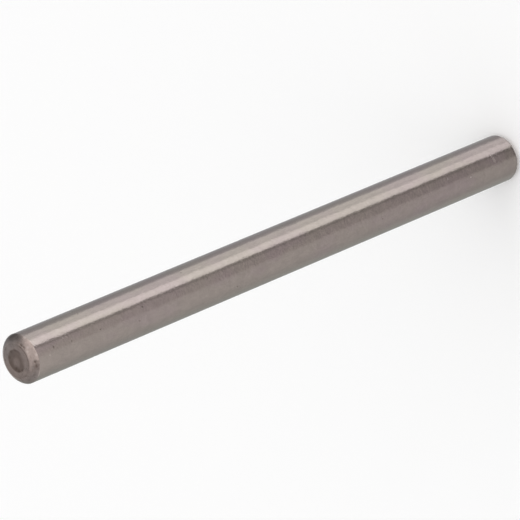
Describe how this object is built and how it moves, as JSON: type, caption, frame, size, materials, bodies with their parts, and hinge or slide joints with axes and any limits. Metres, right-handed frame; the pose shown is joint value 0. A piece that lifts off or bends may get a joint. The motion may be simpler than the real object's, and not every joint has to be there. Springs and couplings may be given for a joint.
{
  "type": "dowel pin",
  "caption": "Solid steel dowel pin with crowned chamfers at both ends and a shallow dimple in the head face, pressed into reamed holes to locate two parts.",
  "frame": {"origin": "middle of the foot face, the plain end that the pin stands on", "axes": "+Z along the pin's axis, from the foot to the dimpled head; X and Y are alike, because the pin is round"},
  "size_m": [0.005, 0.005, 0.07],
  "materials": {
    "ground_steel": "ground, dull warm grey"
  },
  "bodies": {
    "root": {"dowel_pin": "ground_steel"}
  },
  "joints": []
}
